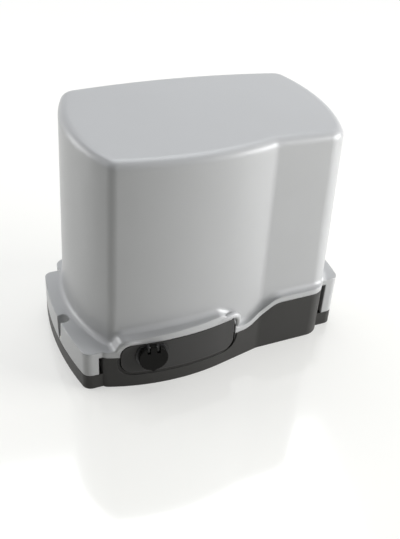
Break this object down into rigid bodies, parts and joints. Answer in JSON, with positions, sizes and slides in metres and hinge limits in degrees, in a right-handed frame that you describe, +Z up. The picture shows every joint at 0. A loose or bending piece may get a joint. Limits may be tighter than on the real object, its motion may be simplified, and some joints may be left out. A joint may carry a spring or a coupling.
{
  "type": "sliding gate motor",
  "caption": "Sliding gate motor with lift-off cover, keyed manual release panel, worm gearmotor and rear pinion that drives a gate's rack",
  "frame": {"origin": "underside of the base, in the middle of the four anchor slots", "axes": "+X along the gate, to the right seen from the release panel; +Y towards the gate, the side of the pinion; +Z up"},
  "size_m": [0.33, 0.2541, 0.2691],
  "materials": {
    "cover_paint": "satin",
    "base_plastic": "satin",
    "black_plastic": "matte",
    "zinc_steel": "satin",
    "ground_steel": "satin",
    "spring_steel": "satin",
    "lock_metal": "satin",
    "cast_aluminium": "matte",
    "bronze": "satin",
    "stack_steel": "matte",
    "copper_winding": "gloss",
    "black_rubber": "matte",
    "yellow_tape": "gloss",
    "capacitor_can": "satin",
    "board_green": "gloss",
    "terminal_green": "matte",
    "relay_blue": "gloss",
    "chip_black": "matte"
  },
  "bodies": {
    "base": {"base_housing": "base_plastic", "fuse_holder": "black_plastic", "switch_box": "black_plastic", "micro_switches": "black_plastic", "board_tray": "black_plastic", "capacitor_cup": "black_plastic", "levelling_nuts": "zinc_steel", "levelling_screws": "zinc_steel", "gearbox_bolts": "zinc_steel", "gearbox_screws": "zinc_steel", "pan_screws": "zinc_steel", "through_bolts": "zinc_steel", "transformer_bolt": "zinc_steel", "transformer_plate": "zinc_steel", "hinge_pin": "ground_steel", "bearings": "ground_steel", "lever_pin": "ground_steel", "gearbox_housing": "cast_aluminium", "gearbox_cover": "cast_aluminium", "motor_lower_shield": "cast_aluminium", "motor_upper_shield": "cast_aluminium", "stator_stack": "stack_steel", "stator_winding": "copper_winding", "output_seal": "black_rubber", "worm_seal": "black_rubber", "cable_grommet": "black_rubber", "transformer_pads": "black_rubber", "transformer": "yellow_tape", "run_capacitor": "capacitor_can", "board_capacitors": "capacitor_can", "control_board": "board_green", "radio_module": "board_green", "terminal_blocks": "terminal_green", "relays": "relay_blue", "processor": "chip_black", "encoder_sensor": "chip_black"},
    "output": {"output_shaft": "ground_steel", "worm_wheel": "bronze", "sleeve_key": "ground_steel", "pinion_key": "ground_steel", "shaft_clip": "zinc_steel", "pinion": "ground_steel", "pinion_washer": "zinc_steel", "pinion_bolt": "zinc_steel"},
    "sleeve": {"clutch_sleeve": "ground_steel"},
    "worm": {"worm_shaft": "ground_steel", "rotor": "stack_steel", "encoder_disc": "black_plastic"},
    "cover": {"cover": "cover_paint", "cover_screws": "zinc_steel"},
    "panel": {"release_panel": "base_plastic", "lock_housing": "lock_metal", "lock_nut": "zinc_steel", "cap_pin": "ground_steel"},
    "lock": {"lock_cylinder": "lock_metal"},
    "cap": {"lock_cap": "black_plastic"},
    "release": {"release_rod": "ground_steel", "release_spring": "spring_steel"},
    "lever": {"limit_lever": "ground_steel", "lever_spring": "spring_steel"}
  },
  "joints": [
    {"name": "output_turn", "type": "hinge", "parent": "base", "child": "output", "pos_m": [0, 0, 0.06], "axis": [0, 1, 0], "continuous": true},
    {"name": "worm_turn", "type": "hinge", "parent": "base", "child": "worm", "pos_m": [-0.04875, 0.018, 0.06], "axis": [0, 0, 1], "continuous": true},
    {"name": "sleeve_slide", "type": "slide", "parent": "output", "child": "sleeve", "axis": [0, 1, 0], "range_m": [-0.006, 0]},
    {"name": "cover_lift", "type": "slide", "parent": "base", "child": "cover", "axis": [0, 0, 1], "range_m": [0, 0.28]},
    {"name": "panel_open", "type": "hinge", "parent": "base", "child": "panel", "pos_m": [-0.002, -0.095, 0.038], "axis": [0, 0, 1], "range_deg": [0, 90]},
    {"name": "lock_turn", "type": "hinge", "parent": "panel", "child": "lock", "pos_m": [-0.088, -0.10749, 0.041], "axis": [-0.145, -0.9894, 0], "range_deg": [0, 90]},
    {"name": "cap_swing", "type": "hinge", "parent": "panel", "child": "cap", "pos_m": [-0.08858, -0.11144, 0.054], "axis": [0.9894, -0.145, 0], "range_deg": [-85, 0]},
    {"name": "release_slide", "type": "slide", "parent": "base", "child": "release", "axis": [0, 1, 0], "range_m": [-0.006, 0]},
    {"name": "lever_swing", "type": "hinge", "parent": "base", "child": "lever", "pos_m": [0.012, 0.074, 0.123], "axis": [0, 0, 1], "range_deg": [-25, 25], "stiffness_Nm_per_rad": 0.05}
  ],
  "couplings": [
    {"joint": "worm_turn", "follows": "output_turn", "ratio": -30},
    {"joint": "release_slide", "follows": "panel_open", "m_per_rad": -0.0038197},
    {"joint": "sleeve_slide", "follows": "panel_open", "m_per_rad": -0.0038197}
  ]
}
